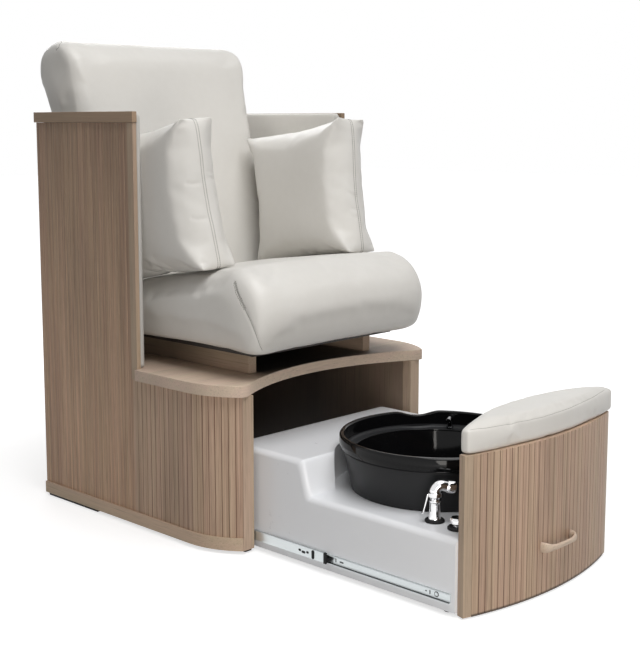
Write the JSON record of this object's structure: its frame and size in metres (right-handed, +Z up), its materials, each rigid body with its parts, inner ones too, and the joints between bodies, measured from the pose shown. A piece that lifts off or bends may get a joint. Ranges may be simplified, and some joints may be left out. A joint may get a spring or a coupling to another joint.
{
  "type": "pedicure chair",
  "caption": "Upholstered pedicure chair on a reeded wooden cabinet with a bowed drawer that rolls out on telescopic slides and holds a round foot basin, a hand sprayer and a padded footrest.",
  "frame": {"origin": "on the floor, under the middle of the plan box with the drawer open as pictured", "axes": "+X to the sitter's left, seen from the front on the right; -Y the way the drawer opens; +Z up"},
  "size_m": [0.832, 1.6416, 1.333],
  "materials": {
    "reeded_wood": "satin",
    "tan_wood": "satin",
    "inner_wood": "matte",
    "cream_vinyl": "satin",
    "white_shell": "satin",
    "gloss_black": "gloss",
    "black": "matte",
    "chrome": "polished",
    "dark_chrome": "polished",
    "zinc": "satin"
  },
  "bodies": {
    "cabinet": {"back_board": "cream_vinyl", "back_bracket_left": "zinc", "back_bracket_right": "zinc", "back_cushion": "cream_vinyl", "back_panel": "reeded_wood", "bow_panel_left": "reeded_wood", "bow_panel_right": "reeded_wood", "deck_shelf": "tan_wood", "edge_strip_left": "tan_wood", "edge_strip_right": "tan_wood", "front_glide_left": "black", "front_glide_right": "black", "front_post_left": "tan_wood", "front_post_right": "tan_wood", "inner_wall_left": "inner_wood", "inner_wall_right": "inner_wood", "rear_glide_left": "black", "rear_glide_right": "black", "seat_board": "inner_wood", "seat_cushion": "cream_vinyl", "seat_riser_left": "tan_wood", "seat_riser_right": "tan_wood", "side_liner_left": "cream_vinyl", "side_liner_right": "cream_vinyl", "side_panel_left": "reeded_wood", "side_panel_right": "reeded_wood", "skirting_left": "tan_wood", "skirting_right": "tan_wood", "slide_outer_left": "zinc", "slide_outer_right": "zinc", "top_cap_left": "tan_wood", "top_cap_right": "tan_wood"},
    "drawer": {"drawer_tub": "white_shell", "drawer_front": "reeded_wood", "drawer_post_left": "tan_wood", "drawer_post_right": "tan_wood", "drawer_pull": "tan_wood", "footrest_board": "inner_wood", "footrest_pad": "cream_vinyl", "basin": "gloss_black", "basin_drain": "chrome", "fill_spout": "dark_chrome", "sprayer_socket": "black", "valve_ring": "black", "slide_inner_left": "zinc", "slide_inner_right": "zinc", "roller_axle_left": "zinc", "roller_axle_right": "zinc"},
    "slide_middle_left": {"slide_middle_left": "zinc", "slide_stop_left": "black"},
    "slide_middle_right": {"slide_middle_right": "zinc", "slide_stop_right": "black"},
    "roller_left": {"roller_left": "black"},
    "roller_right": {"roller_right": "black"},
    "sprayer": {"sprayer": "chrome"},
    "sprayer_lever": {"sprayer_lever": "chrome"},
    "valve_knob": {"valve_knob": "chrome"},
    "arm_pillow_left": {"arm_pillow_left": "cream_vinyl"},
    "arm_pillow_right": {"arm_pillow_right": "cream_vinyl"}
  },
  "joints": [
    {"name": "drawer_slide", "type": "slide", "parent": "cabinet", "child": "drawer", "axis": [0, 1, 0], "range_m": [0, 0.636]},
    {"name": "slide_left_run", "type": "slide", "parent": "cabinet", "child": "slide_middle_left", "axis": [0, 1, 0], "range_m": [0, 0.29]},
    {"name": "slide_right_run", "type": "slide", "parent": "cabinet", "child": "slide_middle_right", "axis": [0, 1, 0], "range_m": [0, 0.29]},
    {"name": "roller_left_spin", "type": "hinge", "parent": "drawer", "child": "roller_left", "pos_m": [-0.2816, -0.69024, 0.02], "axis": [1, 0, 0], "continuous": true},
    {"name": "roller_right_spin", "type": "hinge", "parent": "drawer", "child": "roller_right", "pos_m": [0.2816, -0.69024, 0.02], "axis": [1, 0, 0], "continuous": true},
    {"name": "sprayer_lift", "type": "slide", "parent": "drawer", "child": "sprayer", "axis": [0, 0, 1], "range_m": [0, 0.1]},
    {"name": "sprayer_trigger", "type": "hinge", "parent": "sprayer", "child": "sprayer_lever", "pos_m": [-0.24395, -0.59758, 0.24525], "axis": [-0.6157, -0.788, 0], "range_deg": [0, 8], "stiffness_Nm_per_rad": 0.05},
    {"name": "valve_turn", "type": "hinge", "parent": "drawer", "child": "valve_knob", "pos_m": [-0.23599, -0.67949, 0.19], "axis": [0, 0, 1], "range_deg": [0, 180]},
    {"name": "pillow_left_lift", "type": "slide", "parent": "cabinet", "child": "arm_pillow_left", "axis": [0, 0, 1], "range_m": [0, 0.48]},
    {"name": "pillow_right_lift", "type": "slide", "parent": "cabinet", "child": "arm_pillow_right", "axis": [0, 0, 1], "range_m": [0, 0.48]}
  ],
  "couplings": [
    {"joint": "slide_left_run", "follows": "drawer_slide", "ratio": 0.45},
    {"joint": "slide_right_run", "follows": "drawer_slide", "ratio": 0.45}
  ]
}
